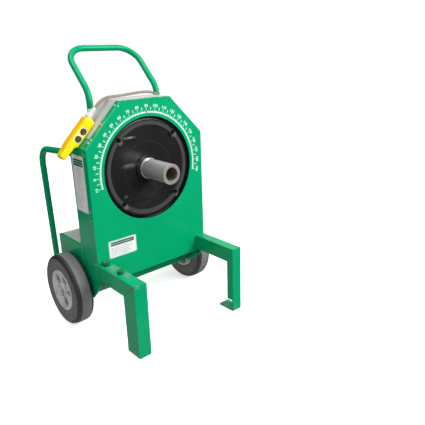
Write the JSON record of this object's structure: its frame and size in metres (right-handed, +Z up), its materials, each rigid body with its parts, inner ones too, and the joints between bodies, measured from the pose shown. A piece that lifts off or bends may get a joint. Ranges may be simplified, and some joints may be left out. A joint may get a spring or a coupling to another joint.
{
  "type": "electric conduit bender",
  "caption": "Wheeled electric conduit bender: upright cabinet, rotary drive plate with a steel spindle, L-shaped front legs, tubular handle, rear loops and a corded pendant.",
  "frame": {"origin": "on the floor, under the middle of the overall length and width", "axes": "+Z up; -Y out of the drive plate along the spindle, towards the operator; +X to the right of someone facing the front plate"},
  "size_m": [0.6912, 0.6768, 1.0697],
  "materials": {
    "green_paint": "gloss",
    "cast_black": "semi-gloss black enamel",
    "ground_steel": "ground",
    "gear_steel": "oiled",
    "web_steel": "primer",
    "zinc": "zinc plated",
    "bronze": "oiled bronze",
    "tyre_rubber": "matt",
    "rim_grey": "cast",
    "motor_grey": "satin",
    "yellow_plastic": "moulded",
    "dark_plastic": "moulded",
    "grey_plastic": "moulded",
    "cord_tan": "matt jacket"
  },
  "bodies": {
    "frame": {"front_plate": "green_paint", "housing_shell": "green_paint", "rear_panel": "green_paint", "front_web": "web_steel", "rear_web": "web_steel", "web_spacers": "zinc", "main_bushings": "bronze", "lay_bushings": "bronze", "cover_screws": "zinc", "rear_screws": "zinc", "reducer": "motor_grey", "motor": "motor_grey", "side_plate_left": "green_paint", "side_plate_right": "green_paint", "cross_member": "green_paint", "rear_pan": "green_paint", "rear_cover": "green_paint", "rear_bar": "green_paint", "arm_blocks": "web_steel", "left_leg": "green_paint", "right_leg": "green_paint", "right_foot": "green_paint", "roller_bosses": "green_paint", "axle": "zinc", "axle_retainers": "zinc", "handle": "green_paint", "handle_saddles": "green_paint", "rear_loop_left": "green_paint", "rear_loop_right": "green_paint", "loop_flanges": "green_paint", "frame_bolts": "zinc", "control_box": "motor_grey", "contactors": "dark_plastic", "power_switch": "dark_plastic", "power_inlet": "dark_plastic", "cord_gland": "dark_plastic", "pendant_body": "yellow_plastic", "pendant_boot": "grey_plastic", "cord_upper": "cord_tan", "cord_coil": "cord_tan", "cord_lower": "cord_tan", "cord_hook": "zinc"},
    "main_shaft": {"spindle": "ground_steel", "spindle_collar": "ground_steel", "drive_plate": "cast_black", "drive_hub": "gear_steel", "drive_hub_bolts": "zinc", "bull_gear": "gear_steel", "spindle_keys": "gear_steel", "spindle_nut": "gear_steel"},
    "intermediate_shaft": {"layshaft": "gear_steel", "lay_gear": "gear_steel"},
    "motor_rotor": {"motor_shaft": "gear_steel"},
    "wheel_left": {"tyre_left": "tyre_rubber", "rim_left": "rim_grey"},
    "wheel_right": {"tyre_right": "tyre_rubber", "rim_right": "rim_grey"},
    "forward_button": {"button_forward": "dark_plastic"},
    "reverse_button": {"button_reverse": "dark_plastic"},
    "toggle": {"power_toggle": "zinc"}
  },
  "joints": [
    {"name": "main_shaft_turn", "type": "hinge", "parent": "frame", "child": "main_shaft", "pos_m": [0, -0.1025, 0.615], "axis": [0, -1, 0], "continuous": true},
    {"name": "intermediate_turn", "type": "hinge", "parent": "frame", "child": "intermediate_shaft", "pos_m": [0, -0.1025, 0.381], "axis": [0, -1, 0], "continuous": true},
    {"name": "motor_turn", "type": "hinge", "parent": "frame", "child": "motor_rotor", "pos_m": [0, -0.1025, 0.265], "axis": [0, -1, 0], "continuous": true},
    {"name": "wheel_left_roll", "type": "hinge", "parent": "frame", "child": "wheel_left", "pos_m": [-0.3008, 0.0851, 0.1445], "axis": [1, 0, 0], "continuous": true},
    {"name": "wheel_right_roll", "type": "hinge", "parent": "frame", "child": "wheel_right", "pos_m": [0.3008, 0.0851, 0.1445], "axis": [1, 0, 0], "continuous": true},
    {"name": "forward_button_press", "type": "slide", "parent": "frame", "child": "forward_button", "axis": [0, 1, 0], "range_m": [0, 0.0025], "stiffness_N_per_m": 400, "springref_m": -0.001},
    {"name": "reverse_button_press", "type": "slide", "parent": "frame", "child": "reverse_button", "axis": [0, 1, 0], "range_m": [0, 0.0025], "stiffness_N_per_m": 400, "springref_m": -0.001},
    {"name": "toggle_tilt", "type": "hinge", "parent": "frame", "child": "toggle", "pos_m": [0.15, 0.217, 0.25], "axis": [1, 0, 0], "range_deg": [0, 24]}
  ],
  "couplings": [
    {"joint": "intermediate_turn", "follows": "main_shaft_turn", "ratio": -4.5714},
    {"joint": "motor_turn", "follows": "main_shaft_turn", "ratio": 14.367}
  ]
}
